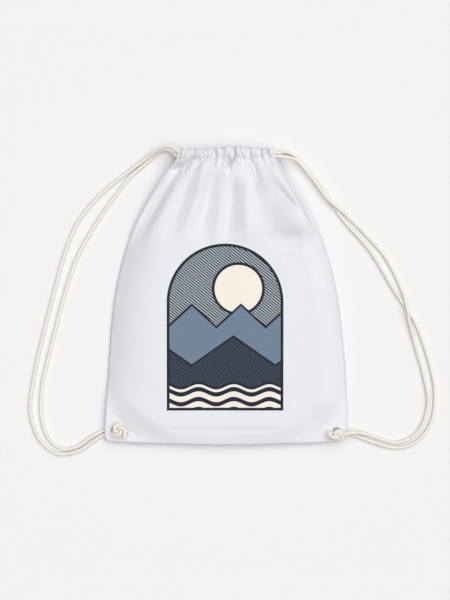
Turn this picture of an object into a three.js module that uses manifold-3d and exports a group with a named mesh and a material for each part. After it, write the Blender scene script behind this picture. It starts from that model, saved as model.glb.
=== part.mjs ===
// A white cotton drawstring bag, drawn closed and lying on its back.
// Millimetres, +Z up. The mouth points along +Y and the surface that the bag lies on is Z = 0.
// The origin is on that surface, under the middle of the cloth.

import * as THREE from "three";
import { mergeVertices } from "three/addons/utils/BufferGeometryUtils.js";
import Module from "manifold-3d";

const wasm = await Module();
wasm.setup();

// Driving sizes of the cloth
const CLOTH = 1.2;
const SEAM_GAP = 0.3;
const BOTTOM_Y = -224;
const BOTTOM_BOW = 4.5;
const STITCH_Y = 206.6;
const LEFT_CORNER_RADIUS = 11;
const RIGHT_CORNER_RADIUS = 16;
const BODY_LENGTH = STITCH_Y - BOTTOM_Y;

// Half width and sideways shift of the lying bag, from the bottom edge to the gathered top edge
const OUTLINE = [
  { y: -224, half: 183.4, shift: -0.9 },
  { y: -120, half: 180.6, shift: 0 },
  { y: -20, half: 171.8, shift: -1 },
  { y: 50, half: 158.5, shift: -1 },
  { y: 110, half: 136.5, shift: -2 },
  { y: 160, half: 108, shift: -2 },
  { y: 190, half: 88, shift: 1 },
  { y: 207, half: 74, shift: 3 },
  { y: 225, half: 70, shift: 2 },
];

// Heights of the middle of the cloth's wall
const SEAM_Z = 8;
const BOTTOM_LIFT = 5;
const BOTTOM_LIFT_REACH = 60;
const NECK_SEAM_Z = 15.7;
const NECK_SEAM_START = 120;
const SEAM_END = 192;
const CROWN_Z = 31;
const BOTTOM_CROWN_Z = 21;
const BOTTOM_CROWN_END = -40;
const FRONT_HEM_Z = 24.7;
const FRONT_HEM_ARCH = 2;
const CROWN_FALL_START = 80;
const BACK_Z = CLOTH / 2;
const BACK_HEM_Z = 6.9;
const BACK_LIFT_START = 150;
const SIDE_ROLL = 48;
const BOTTOM_ROLL = 42;
const BACK_ROLL = 32;
const ROLL_POWER = 2.2;

// Each bottom corner is pressed flat by its cord, up to a crease that runs across it
const CORNER_ALONG_SIDE = 46;
const CORNER_ALONG_BOTTOM = 57;
const CORNER_SETBACK = 4;
const CORNER_EASE = 46;
const HOLE_X = 168;
const HOLE_Y = -203;
const HOLE_RADIUS = 6.3;
const HOLE_SIDES = 12;

// Hem tunnels at the mouth: an ellipse in the YZ plane, higher where the cloth puffs out,
// and most of all on the side that is free to rise
const HEM_Y = 215.2;
const HEM_HALF_LENGTH = 8.2;
const HEM_NECK = 5;
const HEM_INNER_PUFF = 5.6;
const HEM_SCALLOP = 1.5;
const HEM_ANGLES = [155, 122, 88, 52, 14, -26, -66, -106, -146];
const GATHER_DEPTH = 2;
const GATHER_REACH = 42;
const FOLD_INSET = 8;
const FOLD_START = 0.2;

// Folds of the front, falling from the gathers: place across, drift outwards on the way down,
// length, half width across, and depth below the smooth cloth (a negative depth is a ridge)
const FRONT_FOLDS = [
  { at: -0.76, drift: -0.22, reach: 34, half: 0.08, depth: 4.0 },
  { at: -0.78, drift: -0.13, reach: 150, half: 0.10, depth: 5.0 },
  { at: -0.62, drift: -0.03, reach: 130, half: 0.10, depth: -2.5 },
  { at: -0.52, drift: -0.05, reach: 125, half: 0.09, depth: 3.5 },
  { at: -0.33, drift: -0.02, reach: 125, half: 0.10, depth: -2.0 },
  { at: -0.19, drift: 0.01, reach: 120, half: 0.10, depth: 3.0 },
  { at: 0.06, drift: -0.05, reach: 34, half: 0.06, depth: 4.0 },
  { at: 0.14, drift: -0.08, reach: 115, half: 0.10, depth: 3.5 },
  { at: 0.32, drift: 0.00, reach: 110, half: 0.10, depth: -2.0 },
  { at: 0.49, drift: -0.07, reach: 80, half: 0.08, depth: 3.5 },
  { at: 0.72, drift: 0.24, reach: 90, half: 0.08, depth: 4.0 },
];
const BACK_FOLDS = [
  { at: -0.55, drift: -0.05, reach: 110, half: 0.14, depth: -3.0 },
  { at: -0.10, drift: 0.00, reach: 120, half: 0.14, depth: -3.0 },
  { at: 0.35, drift: 0.03, reach: 110, half: 0.14, depth: -3.0 },
  { at: 0.75, drift: 0.05, reach: 90, half: 0.12, depth: -2.5 },
];

// Rows of each cloth, as heights above the bottom edge along the panel
const FRONT_ROWS = [0, 1.5, 5.5, 11, 22, 40, 70, 115, 170, 230, 285, 325, 355, 380, 398, 412, 422];
const BACK_ROWS = [0, 1.5, 5.5, 11, 22, 40, 115, 230, 325, 355, 380, 398, 412, 422];
const FRONT = { side: 1, columns: 40, puffs: 10, puffHeight: 7.4, rows: FRONT_ROWS, folds: FRONT_FOLDS };
const BACK = { side: -1, columns: 28, puffs: 7, puffHeight: 5.9, rows: BACK_ROWS, folds: BACK_FOLDS };

// Cords and knots; LIE is the height of the middle of a cord that lies on the surface
const CORD_RADIUS = 2.5;
const LIE = 2.75;
const CORD_SIDES = 8;
const CORD_STEPS_PER_SPAN = 2;
const KNOT_LOOP_RADIUS = 6;
const KNOT_STEPS = 34;
const KNOT_SIDES = 6;
const TAIL_LENGTH = 6;

// Materials
const CLOTH_WHITE = { color: 0xeceef2, roughness: 0.9, metalness: 0 };
const CORD_CREAM = { color: 0xebe3d3, roughness: 0.95, metalness: 0 };

const clamp01 = (t) => Math.min(1, Math.max(0, t));
const mix = (a, b, t) => a + (b - a) * t;
const ease = (t) => clamp01(t) ** 2 * (3 - 2 * clamp01(t));
const rollOff = (distance, reach) => 1 - (1 - clamp01(distance / reach)) ** ROLL_POWER;
const bell = (t) => (1 - clamp01(Math.abs(t)) ** 2) ** 2;

// Smooth curve through the outline's rows (a cubic between each two, with averaged slopes)
function outlineAt(y, column) {
  const last = OUTLINE.length - 2;
  const found = OUTLINE.findIndex((row, i) => i < last && y < OUTLINE[i + 1].y);
  const i = found < 0 ? last : found;
  const [a, b] = [OUTLINE[i], OUTLINE[i + 1]];
  const [before, after] = [OUTLINE[Math.max(0, i - 1)], OUTLINE[Math.min(last + 1, i + 2)]];
  const span = b.y - a.y;
  const t = (y - a.y) / span;
  const slopeA = ((b[column] - before[column]) / (b.y - before.y)) * span;
  const slopeB = ((after[column] - a[column]) / (after.y - a.y)) * span;
  const swing = b[column] - a[column];
  return a[column] + t * slopeA + t * t * (3 * swing - 2 * slopeA - slopeB)
    + t ** 3 * (slopeA + slopeB - 2 * swing);
}

// Place on the lying bag's plan: across runs from -1 at the left seam to 1 at the right seam
function planPoint(across, rise) {
  const level = BOTTOM_Y + rise;
  const radius = across < 0 ? LEFT_CORNER_RADIUS : RIGHT_CORNER_RADIUS;
  const inCorner = radius - Math.min(rise, radius);
  const rounding = radius - Math.sqrt(radius ** 2 - inCorner ** 2);
  const half = outlineAt(level, "half") - rounding;
  const bow = BOTTOM_BOW * across ** 2 * (1 - ease(rise / BODY_LENGTH));
  const inset = half * (1 - Math.abs(across));
  return { x: outlineAt(level, "shift") + half * across, y: level + bow, inset };
}

// 0 on the flattened bottom corners, 1 on the rest of the bag
function cornerFullness(x, y) {
  const corner = OUTLINE[0];
  const crease = Math.hypot(CORNER_ALONG_SIDE, CORNER_ALONG_BOTTOM);
  const beyond = (CORNER_ALONG_SIDE * (corner.half - Math.abs(x))
    + CORNER_ALONG_BOTTOM * (y - corner.y - CORNER_ALONG_SIDE)) / crease;
  return ease((beyond + CORNER_SETBACK) / CORNER_EASE);
}

// Height of a panel's edge: the seam is lifted along the bottom between the corners, climbs to the
// neck and ends below the hem, where the two part
function edgeHeight(side, across, rise) {
  const y = BOTTOM_Y + rise;
  const lift = BOTTOM_LIFT * bell(across) * (1 - ease(rise / BOTTOM_LIFT_REACH));
  const climb = ease((y - NECK_SEAM_START) / (SEAM_END - NECK_SEAM_START));
  const sewn = mix(SEAM_Z, NECK_SEAM_Z, climb) + lift + side * (CLOTH + SEAM_GAP) / 2;
  const hem = side > 0 ? FRONT_HEM_Z : BACK_HEM_Z;
  return mix(sewn, hem, ease((y - SEAM_END) / (STITCH_Y - SEAM_END)));
}

// Smooth height of a panel: on the front a crown that is lower towards the bottom and the mouth,
// at the back flat on the surface
function panelHeight(side, across, rise) {
  const { x, y, inset } = planPoint(across, rise);
  const level = BOTTOM_Y + rise;
  const edge = edgeHeight(side, across, rise);
  const fullness = cornerFullness(x, y);
  if (side > 0) {
    const fall = ease((level - CROWN_FALL_START) / (STITCH_Y - CROWN_FALL_START));
    const climb = ease(rise / (BOTTOM_CROWN_END - BOTTOM_Y));
    const crown = mix(mix(BOTTOM_CROWN_Z, CROWN_Z, climb), FRONT_HEM_Z + FRONT_HEM_ARCH, fall);
    return mix(edge, crown, fullness * rollOff(inset, SIDE_ROLL) * rollOff(rise, BOTTOM_ROLL));
  }
  const floor = mix(BACK_Z, BACK_HEM_Z, ease((level - BACK_LIFT_START) / (STITCH_Y - BACK_LIFT_START)));
  return mix(edge, floor, fullness * rollOff(inset, BACK_ROLL) * rollOff(rise, BACK_ROLL));
}

// 1 on the middle of a puff, 0 in the neck between two puffs and at both ends of the hem
const puffAt = (cloth, across) => 0.5 - 0.5 * Math.cos(Math.PI * cloth.puffs * (across + 1));

// Depth of the folds and gathers at a place on the panel
function foldDepth(cloth, across, rise) {
  const below = BODY_LENGTH - rise;
  const gather = GATHER_DEPTH * (1 - 2 * puffAt(cloth, across)) * (1 - ease(below / GATHER_REACH));
  return cloth.folds.reduce((sum, fold) => {
    const way = clamp01(below / fold.reach);
    const off = (across - fold.at - fold.drift * way) / fold.half;
    const strength = ease(way / FOLD_START) * (1 - ease(way));
    return sum + fold.depth * bell(off) * strength;
  }, cloth.side > 0 ? gather : Math.min(0, gather));
}

// Middle of the wall below the stitch line; the folds die away at the sewn sides
function bodyPoint(cloth, across, rise) {
  const { x, y, inset } = planPoint(across, rise);
  const depth = ease(inset / FOLD_INSET) * foldDepth(cloth, across, rise);
  return [x, y, panelHeight(cloth.side, across, rise) - depth];
}

// Middle of the wall on the hem, by the angle round the tunnel: 180 is the stitched edge,
// 90 the outer wall, 0 the top edge, -90 the wall inside the mouth
function hemPoint(cloth, across, degrees) {
  const angle = THREE.MathUtils.degToRad(degrees);
  const puff = puffAt(cloth, across);
  const y = HEM_Y + (HEM_HALF_LENGTH + HEM_SCALLOP * (puff - 0.5)) * Math.cos(angle);
  const height = mix(HEM_NECK, angle > 0 ? cloth.puffHeight : HEM_INNER_PUFF, puff) * Math.sin(angle);
  const z = panelHeight(cloth.side, across, BODY_LENGTH) + cloth.side * height;
  return [outlineAt(y, "shift") + outlineAt(y, "half") * across, y, z];
}

// One closed wall: the grid of middle points is offset half a wall both ways along its normals
function clothWall(cloth) {
  const across = Array.from({ length: cloth.columns + 1 }, (_, i) => (2 * i) / cloth.columns - 1);
  const bodyRows = [...cloth.rows, BODY_LENGTH].map((rise) => across.map((s) => bodyPoint(cloth, s, rise)));
  const hemRows = HEM_ANGLES.map((degrees) => across.map((s) => hemPoint(cloth, s, degrees)));
  const middle = [...bodyRows, ...hemRows].map((row) => row.map((p) => new THREE.Vector3(...p)));
  const wide = across.length;
  const high = middle.length;
  const near = (j, i) => middle[THREE.MathUtils.clamp(j, 0, high - 1)][THREE.MathUtils.clamp(i, 0, wide - 1)];
  const layer = (offset) => middle.flatMap((row, j) => row.map((point, i) => {
    const alongX = near(j, i + 1).clone().sub(near(j, i - 1));
    const alongY = near(j + 1, i).clone().sub(near(j - 1, i));
    const normal = alongX.cross(alongY).normalize();
    return normal.multiplyScalar(offset).add(point);
  }));
  const vertices = [...layer(CLOTH / 2), ...layer(-CLOTH / 2)];
  const under = wide * high;
  const at = (j, i) => j * wide + i;
  const faces = [];
  const quad = (a, b, c, d) => faces.push(a, b, c, a, c, d);
  for (let j = 0; j < high - 1; j += 1) {
    for (let i = 0; i < wide - 1; i += 1) {
      const [a, b, c, d] = [at(j, i), at(j, i + 1), at(j + 1, i + 1), at(j + 1, i)];
      quad(a, b, c, d);
      quad(under + d, under + c, under + b, under + a);
    }
  }
  const rim = (a, b) => quad(b, a, under + a, under + b);
  for (let i = 0; i < wide - 1; i += 1) {
    rim(at(0, i), at(0, i + 1));
    rim(at(high - 1, i + 1), at(high - 1, i));
  }
  for (let j = 0; j < high - 1; j += 1) {
    rim(at(j + 1, 0), at(j, 0));
    rim(at(j, wide - 1), at(j + 1, wide - 1));
  }
  const geometry = new THREE.BufferGeometry().setFromPoints(vertices);
  geometry.setIndex(faces);
  return geometry;
}

// Closed geometry to solid and back
function solidOf(geometry) {
  const bare = geometry.clone();
  bare.deleteAttribute("normal");
  bare.deleteAttribute("uv");
  const merged = mergeVertices(bare, 1e-4);
  const vertProperties = new Float32Array(merged.attributes.position.array);
  const triVerts = new Uint32Array(merged.index.array);
  return new wasm.Manifold(new wasm.Mesh({ numProp: 3, vertProperties, triVerts }));
}
function geometryOf(solid) {
  const mesh = solid.getMesh();
  const geometry = new THREE.BufferGeometry();
  geometry.setAttribute("position", new THREE.Float32BufferAttribute(mesh.vertProperties, 3));
  geometry.setIndex(Array.from(mesh.triVerts));
  return geometry;
}

// A panel with the cord's hole through each bottom corner
function panelGeometry(cloth) {
  const hole = (side) => new THREE.CylinderGeometry(HOLE_RADIUS, HOLE_RADIUS, 2 * CROWN_Z, HOLE_SIDES)
    .rotateX(Math.PI / 2).translate(side * HOLE_X, HOLE_Y, 0);
  const wall = solidOf(clothWall(cloth));
  return geometryOf(wall.subtract(solidOf(hole(-1))).subtract(solidOf(hole(1))));
}

// The curve keeps the route's own spacing, so close points give short steps in a tight turn
class CordRoute extends THREE.CatmullRomCurve3 {
  getUtoTmapping(u) {
    return u;
  }
}

// Left cord: up from the corner's hole along the outer strand, through the front hem, round its
// right end, back through the back hem, and down the inner strand to the same hole
const LEFT_ROUTE = [
  [-168, -205.8, 10.1], [-170, -205.9, 5.0], [-179, -207, 2.95], [-196, -216.2, LIE], [-225, -235, LIE],
  [-256, -239, LIE], [-282, -219, LIE], [-297, -180, LIE], [-293, -128, LIE],
  [-261, 8, LIE], [-245.5, 64, LIE], [-229, 106.5, LIE], [-209.5, 135, LIE], [-186, 160, LIE],
  [-146, 192, 2.95], [-122, 209, 5.6], [-101, 223.8, 14], [-84, 227, 21.5], [-69, 219, 24.7],
  [-45, 218.2, 26.2], [2, 218.2, 26.9], [73, 218.2, 24.7],
  [80, 217.4, 22.2], [82.5, 215.4, 15.8], [80, 213.4, 9.4], [73, 212.6, 6.9],
  [2, 212.6, 6.9], [-69, 212.6, 6.9], [-77, 214.6, 3.4], [-88, 223, 2.9], [-100, 221.4, LIE],
  [-119.5, 204.6, LIE], [-145.5, 182.5, LIE], [-159, 166, LIE], [-197, 112, LIE], [-229, 53, LIE],
  [-267, -80, LIE], [-280, -140, LIE], [-280, -188, LIE], [-267, -220, LIE],
  [-246, -232.4, LIE], [-225, -228, LIE], [-207, -215, LIE],
  [-179, -201, 2.95], [-170, -200.3, 5.0], [-168, -200.2, 10.1],
];

// Right cord: from the knot over the corner, up the inner strand, through the front hem, round its
// left end, back through the back hem, and down the outer strand to the corner's hole
const RIGHT_ROUTE = [
  [187, -207, 12.5], [199, -206.5, 8.5], [214, -209.5, 3.6], [232, -215.5, LIE],
  [262, -222, LIE], [292, -206.5, LIE], [308, -165, LIE], [301, -117, LIE], [291, -82, LIE],
  [279.5, -38.5, 5.0], [276, -19, 8.1], [269, 8, 3.2], [242, 62, LIE], [204, 104, LIE],
  [186, 122, 3.2], [172.3, 133.8, 6.9], [162, 142.5, 8.1], [151.5, 153, 7.2], [140.5, 168.5, 6.6],
  [126, 187.5, 6.8], [108.5, 206.5, 9.5], [92, 211, 19],
  [73, 212.2, 24.7], [47, 212.6, 26.2], [2, 212.6, 26.9], [-69, 212.6, 24.7],
  [-76, 213.4, 22.2], [-78.5, 215.4, 15.8], [-76, 217.4, 9.4], [-69, 218.2, 6.9],
  [2, 218.2, 6.9], [73, 218.2, 6.9], [94, 219.8, 5], [113, 207.5, 3], [145.5, 169.5, LIE],
  [162, 142.5, LIE], [180, 116, LIE], [220, 70, LIE], [259, 6, LIE], [276, -19, LIE], [287, -36, LIE],
  [303, -77, LIE], [318, -140, LIE], [313, -190, LIE], [290, -221, LIE], [258, -230, LIE],
  [208, -215.5, LIE], [179, -204, 2.95], [170, -203.1, 5.0], [168, -203, 9.2],
];

// Round cord along a route
function cordGeometry(route) {
  const curve = new CordRoute(route.map((point) => new THREE.Vector3(...point)));
  const section = new THREE.Shape();
  for (let i = 0; i < CORD_SIDES; i += 1) {
    const angle = (2 * Math.PI * (i + 0.5)) / CORD_SIDES;
    section[i ? "lineTo" : "moveTo"](CORD_RADIUS * Math.cos(angle), CORD_RADIUS * Math.sin(angle));
  }
  const steps = CORD_STEPS_PER_SPAN * (route.length - 1);
  return new THREE.ExtrudeGeometry(section, { steps, extrudePath: curve });
}

// Overhand knot: the cord laid as a three-lobed knot, with two short tails
function knotGeometry({ stretch, tails }) {
  const loops = new THREE.TorusKnotGeometry(KNOT_LOOP_RADIUS, CORD_RADIUS, KNOT_STEPS, KNOT_SIDES, 2, 3);
  const tail = (turn) => new THREE.CapsuleGeometry(CORD_RADIUS, TAIL_LENGTH, 2, KNOT_SIDES)
    .rotateZ(Math.PI / 2).translate(KNOT_LOOP_RADIUS + TAIL_LENGTH / 2, 0, 0)
    .rotateZ(THREE.MathUtils.degToRad(turn));
  const knot = tails.reduce((sum, turn) => sum.add(solidOf(tail(turn))), solidOf(loops));
  return geometryOf(knot).scale(...stretch);
}
const KNOTS = [
  { name: "knot_left", at: [-162, -203, 16.0], stretch: [1, 0.9, 1], tails: [-40, -5] },
  { name: "knot_right", at: [169, -210, 15.2], stretch: [1.1, 0.7, 1], tails: [165, 190] },
];

const bag = new THREE.Group();
function addMesh(name, geometry, finish, at = [0, 0, 0]) {
  const mesh = new THREE.Mesh(geometry, new THREE.MeshStandardMaterial(finish));
  mesh.name = name;
  mesh.position.set(...at);
  bag.add(mesh);
}
addMesh("front_panel", panelGeometry(FRONT), CLOTH_WHITE);
addMesh("back_panel", panelGeometry(BACK), CLOTH_WHITE);
addMesh("cord_left", cordGeometry(LEFT_ROUTE), CORD_CREAM);
addMesh("cord_right", cordGeometry(RIGHT_ROUTE), CORD_CREAM);
KNOTS.forEach((knot) => addMesh(knot.name, knotGeometry(knot), CORD_CREAM, knot.at));

export default bag;
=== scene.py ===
# %% [markdown]
# # A cotton drawstring bag, lying on its back
# The bag is two sheets of white cotton, sewn together along both sides and the bottom. The top
# edge of each sheet is turned down into a tunnel. Two cream cords run through both tunnels in
# opposite directions, so pulling them gathers the mouth, and their ends are knotted at the
# bottom corners to make shoulder straps. The lesson takes the camera and the cords first, then
# the cloth, then the finishes. Sizes are in millimetres and become metres in the meshes.

# %% Load the frame
import math

import bpy
import numpy as np
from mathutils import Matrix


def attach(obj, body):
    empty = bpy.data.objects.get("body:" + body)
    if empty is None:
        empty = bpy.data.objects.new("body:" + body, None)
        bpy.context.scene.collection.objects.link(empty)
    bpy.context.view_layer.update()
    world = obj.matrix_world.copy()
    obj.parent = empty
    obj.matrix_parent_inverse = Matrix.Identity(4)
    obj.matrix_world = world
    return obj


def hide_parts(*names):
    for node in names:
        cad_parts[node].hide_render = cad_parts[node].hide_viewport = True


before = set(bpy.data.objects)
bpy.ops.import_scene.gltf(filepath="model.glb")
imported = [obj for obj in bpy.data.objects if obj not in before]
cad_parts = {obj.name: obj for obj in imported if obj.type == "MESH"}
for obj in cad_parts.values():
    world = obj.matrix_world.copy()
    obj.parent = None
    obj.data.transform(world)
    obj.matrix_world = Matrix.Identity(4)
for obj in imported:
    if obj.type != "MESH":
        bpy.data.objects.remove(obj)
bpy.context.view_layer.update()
MM = 0.001

# %% [markdown]
# ## Camera
# The bag was taken from straight above. A long lens far away could be replaced by an
# orthographic camera, but a real lens keeps the slight perspective of a photograph, and the
# other views need one too. The distance follows from the lens and from how many millimetres a
# picture pixel shows at the height of the seam.

# %% Camera above the bag
PIXEL_SIZE = 1.52
PICTURE_HEIGHT = 600
SENSOR = 36.0
LENS = 100.0
AIM_X = -1.1
AIM_Y = -5.0
SEAM_Z = 8.0

camera_distance = PICTURE_HEIGHT * PIXEL_SIZE * LENS / SENSOR
camera_data = bpy.data.cameras.new("camera")
camera_data.sensor_width = SENSOR
camera_data.lens = LENS
camera = bpy.data.objects.new("camera", camera_data)
camera.location = (AIM_X * MM, AIM_Y * MM, (SEAM_Z + camera_distance) * MM)
bpy.context.scene.collection.objects.link(camera)
bpy.context.scene.camera = camera
print("camera is", round(camera_distance), "mm above the seam")

# %% [markdown]
# ## Light
# The picture is bright and nearly without shadow: a white room with one broad lamp high on the
# right, a little towards the mouth of the bag. A sun lamp with a wide disc lights the whole
# floor evenly, which an area lamp close by would not, and its softness comes from that disc.

# %% Room and lamp
ROOM_STRENGTH = 0.20
LAMP_STRENGTH = 3.10
LAMP_DISC = math.radians(92)
LAMP_FROM = (0.23, 0.18, 1.0)

world = bpy.data.worlds.new("white room")
world.use_nodes = True
world.node_tree.nodes["Background"].inputs["Color"].default_value = (1, 1, 1, 1)
world.node_tree.nodes["Background"].inputs["Strength"].default_value = ROOM_STRENGTH
bpy.context.scene.world = world
bpy.context.scene.view_settings.view_transform = "Standard"

lamp_data = bpy.data.lights.new("broad lamp", "SUN")
lamp_data.energy = LAMP_STRENGTH
lamp_data.angle = LAMP_DISC
lamp = bpy.data.objects.new("broad lamp", lamp_data)
lamp_side = math.atan2(LAMP_FROM[1], LAMP_FROM[0])
lamp_lean = math.atan2(math.hypot(LAMP_FROM[0], LAMP_FROM[1]), LAMP_FROM[2])
lamp.rotation_euler = (0, lamp_lean, lamp_side)
bpy.context.scene.collection.objects.link(lamp)
print("lamp leans", round(math.degrees(lamp_lean)), "degrees from upright")

# %% [markdown]
# ## Meshes from arrays
# Every piece here is a grid of points: a surface sampled in two directions. A helper numbers
# the grid row by row and joins neighbours into quads. A wrapped grid closes into a tube, and a
# ring at each end becomes a cap, so the mesh is watertight.

# %% Grid helpers
def grid_quads(rows, columns, wrap=False):
    """Quads of a grid numbered row by row: each point with its next column, the point above
    that, and the point above itself. With wrap, the last column joins the first."""
    row = np.arange(rows - 1)[:, None] * columns
    column = np.arange(columns if wrap else columns - 1)[None, :]
    beside = (column + 1) % columns
    corners = [row + column, row + beside, row + columns + beside, row + columns + column]
    return np.stack(corners, axis=-1).reshape(-1, 4)


def make_piece(name, points, faces, maps=None):
    """Object at the origin from points in millimetres, a list of faces and named point maps."""
    mesh = bpy.data.meshes.new(name)
    mesh.from_pydata(np.asarray(points) * MM, [], faces)
    mesh.shade_smooth()
    corner_point = np.empty(len(mesh.loops), dtype=np.int32)
    mesh.loops.foreach_get("vertex_index", corner_point)
    for map_name, places in (maps or {}).items():
        layer = mesh.uv_layers.new(name=map_name)
        layer.data.foreach_set("uv", np.asarray(places, dtype=np.float32)[corner_point].ravel())
    piece = bpy.data.objects.new(name, mesh)
    bpy.context.scene.collection.objects.link(piece)
    print(name, "has", len(mesh.polygons), "faces")
    return piece


# %% [markdown]
# ## Smooth lines
# A cord is drawn as a short list of places it passes. A centripetal Catmull-Rom curve goes
# through all of them without overshooting, which a Bezier curve only does with hand-set
# handles. The line is then walked in equal steps so that the plait has one size all along.

# %% Curve and even steps
SPAN_STEPS = 24


def smooth_line(places):
    """Cubic through each neighbouring pair of places. Its end slopes come from the places
    around them, with the knots spaced by the square root of the distance."""
    places = np.asarray(places, dtype=float)
    ahead = 2 * places[:1] - places[1:2]
    beyond = 2 * places[-1:] - places[-2:-1]
    points = np.vstack([ahead, places, beyond])
    knots = np.sqrt(np.linalg.norm(np.diff(points, axis=0), axis=1))[:, None]
    before, here, after = knots[:-2], knots[1:-1], knots[2:]
    p0, p1, p2, p3 = points[:-3], points[1:-2], points[2:-1], points[3:]
    leave = here * ((p1 - p0) / before - (p2 - p0) / (before + here) + (p2 - p1) / here)
    arrive = here * ((p2 - p1) / here - (p3 - p1) / (here + after) + (p3 - p2) / after)
    square = 3 * (p2 - p1) - 2 * leave - arrive
    cube = 2 * (p1 - p2) + leave + arrive
    t = np.linspace(0, 1, SPAN_STEPS, endpoint=False)[None, :, None]
    spans = p1[:, None] + leave[:, None] * t + square[:, None] * t**2 + cube[:, None] * t**3
    return np.vstack([spans.reshape(-1, 3), places[-1:]])


def even_steps(line, step):
    """The same line with its points a fixed length apart, and how far along each one is."""
    lengths = np.linalg.norm(np.diff(line, axis=0), axis=1)
    walked = np.concatenate([[0.0], np.cumsum(lengths)])
    count = int(round(walked[-1] / step)) + 1
    along = np.linspace(0, walked[-1], count)
    points = np.column_stack([np.interp(along, walked, line[:, axis]) for axis in range(3)])
    return points, along


# %% [markdown]
# ## Plaited cord
# The cords are round cotton plaits about 5 mm thick. A plain tube with a bump map would look
# smooth at its edge, so the plait is in the geometry: twelve yarns wind round the cord, six
# each way, and take turns on top. The tube's cross directions must not spin, so their twist is
# measured from ring to ring and taken out again.

# %% Plait and tube
CORD_RADIUS = 2.5
YARNS_EACH_WAY = 6
YARN_PITCH = 3.4
PLAIT_RELIEF = 0.34
PLAIT_MIDDLE = 0.7
YARN_ROUND = 0.6
YARN_LIFT = 0.4
CORD_SIDES = 24
RING_STEP = 0.62
NEARLY_UP = (0.03, 0.02, 1.0)


def plait_height(angle, along):
    """Height of the plait from 0 to 1. Two families of yarns cross as slanted coordinates u and
    v. Each yarn is a half round across itself, lifted where it passes over and lowered under."""
    u = YARNS_EACH_WAY * angle / (2 * np.pi) + along / YARN_PITCH
    v = YARNS_EACH_WAY * angle / (2 * np.pi) - along / YARN_PITCH
    across_u = u % 1
    across_v = v % 1
    over = 1 - 2 * ((np.floor(u) + np.floor(v)) % 2)
    round_u = YARN_ROUND * np.sqrt(1 - (2 * across_u - 1) ** 2)
    round_v = YARN_ROUND * np.sqrt(1 - (2 * across_v - 1) ** 2)
    first = round_u + YARN_LIFT * over * np.sin(np.pi * across_v)
    second = round_v - YARN_LIFT * over * np.sin(np.pi * across_u)
    return np.maximum(first, second)


def unit(vectors):
    """Each vector divided by its own length."""
    return vectors / np.linalg.norm(vectors, axis=-1, keepdims=True)


def tube_rings(line, radius, sides):
    """Circle carried along a line: the point at angle a is the line plus radius times (cos a
    sideways + sin a upwards), and a takes out the twist of those directions along the line.
    Sideways is square to the line and to a direction tilted a little from upright, so that a
    cord climbing straight up still has one."""
    forward = unit(np.gradient(line, axis=0))
    sideways = unit(np.cross(NEARLY_UP, forward))
    upwards = np.cross(forward, sideways)
    lean = np.sum(sideways[1:] * upwards[:-1], axis=1)
    stay = np.sum(sideways[1:] * sideways[:-1], axis=1)
    twist = np.concatenate([[0.0], np.cumsum(np.arctan2(lean, stay))])
    angle = np.linspace(0, 2 * np.pi, sides, endpoint=False)[None, :] - twist[:, None]
    spoke = np.cos(angle)[..., None] * sideways[:, None] + np.sin(angle)[..., None] * upwards[:, None]
    return line[:, None] + np.asarray(radius)[..., None] * spoke


def tube_faces(rings, sides):
    """Wrapped quads along the tube and a cap of all sides at each end."""
    faces = grid_quads(rings, sides, wrap=True).tolist()
    faces.append(list(range(sides - 1, -1, -1)))
    faces.append(list(range((rings - 1) * sides, rings * sides)))
    return faces


def plaited_cord(name, places, thickness=1.0):
    """Cord piece along a list of places; returns it with its line in millimetres."""
    line, along = even_steps(smooth_line(places), RING_STEP)
    thickest = thickness * (CORD_RADIUS + PLAIT_RELIEF * (1 - PLAIT_MIDDLE))
    line[:, 2] = np.maximum(line[:, 2], thickest)
    angle = np.linspace(0, 2 * np.pi, CORD_SIDES, endpoint=False)
    relief = PLAIT_RELIEF * (plait_height(angle[None, :], along[:, None]) - PLAIT_MIDDLE)
    radius = thickness * (CORD_RADIUS + relief)
    rings = tube_rings(line, radius, CORD_SIDES)
    around = np.tile(angle * CORD_RADIUS, len(line))
    lengthwise = np.repeat(along, CORD_SIDES)
    cord_map = np.column_stack([around, lengthwise]) * MM
    faces = tube_faces(len(line), CORD_SIDES)
    piece = make_piece(name, rings.reshape(-1, 3), faces, {"cord": cord_map})
    print(name, "is", round(along[-1]), "mm long")
    return piece, line, along[-1]


# %% [markdown]
# ## The two cords
# Each cord is one length. It starts in the knot at a bottom corner, lies on the floor in a
# loose strap, runs through the front tunnel, turns back round the far end of the mouth, comes
# home through the back tunnel, and lies beside its first half until it reaches the knot again.
# The places repeat the solid cords, and one more place at each end leads into the knot.

# %% Cord routes
LIE = 2.75
LEFT_ROUTE = [
    (-165, -206, 14.5), (-168, -205.8, 10.1), (-170, -205.9, 5), (-179, -207, 2.95),
    (-196, -216.2, LIE), (-225, -235, LIE), (-256, -239, LIE), (-282, -219, LIE),
    (-297, -180, LIE), (-293, -128, LIE), (-261, 8, LIE), (-245.5, 64, LIE),
    (-229, 106.5, LIE), (-209.5, 135, LIE), (-186, 160, LIE), (-146, 192, 2.95),
    (-122, 209, 5.6), (-101, 223.8, 14), (-84, 227, 21.5), (-69, 219, 24.7),
    (-45, 218.2, 26.2), (2, 218.2, 26.9), (73, 218.2, 24.7), (80, 217.4, 22.2),
    (82.5, 215.4, 15.8), (80, 213.4, 9.4), (73, 212.6, 6.9), (2, 212.6, 6.9),
    (-69, 212.6, 6.9), (-77, 214.6, 3.4), (-88, 223, 2.9), (-100, 221.4, LIE),
    (-119.5, 204.6, LIE), (-145.5, 182.5, LIE), (-159, 166, LIE), (-197, 112, LIE),
    (-229, 53, LIE), (-267, -80, LIE), (-280, -140, LIE), (-280, -188, LIE),
    (-267, -220, LIE), (-246, -232.4, LIE), (-225, -228, LIE), (-207, -215, LIE),
    (-179, -201, 2.95), (-170, -200.3, 5), (-168, -200.2, 10.1), (-165, -200, 14.5),
]
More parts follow.
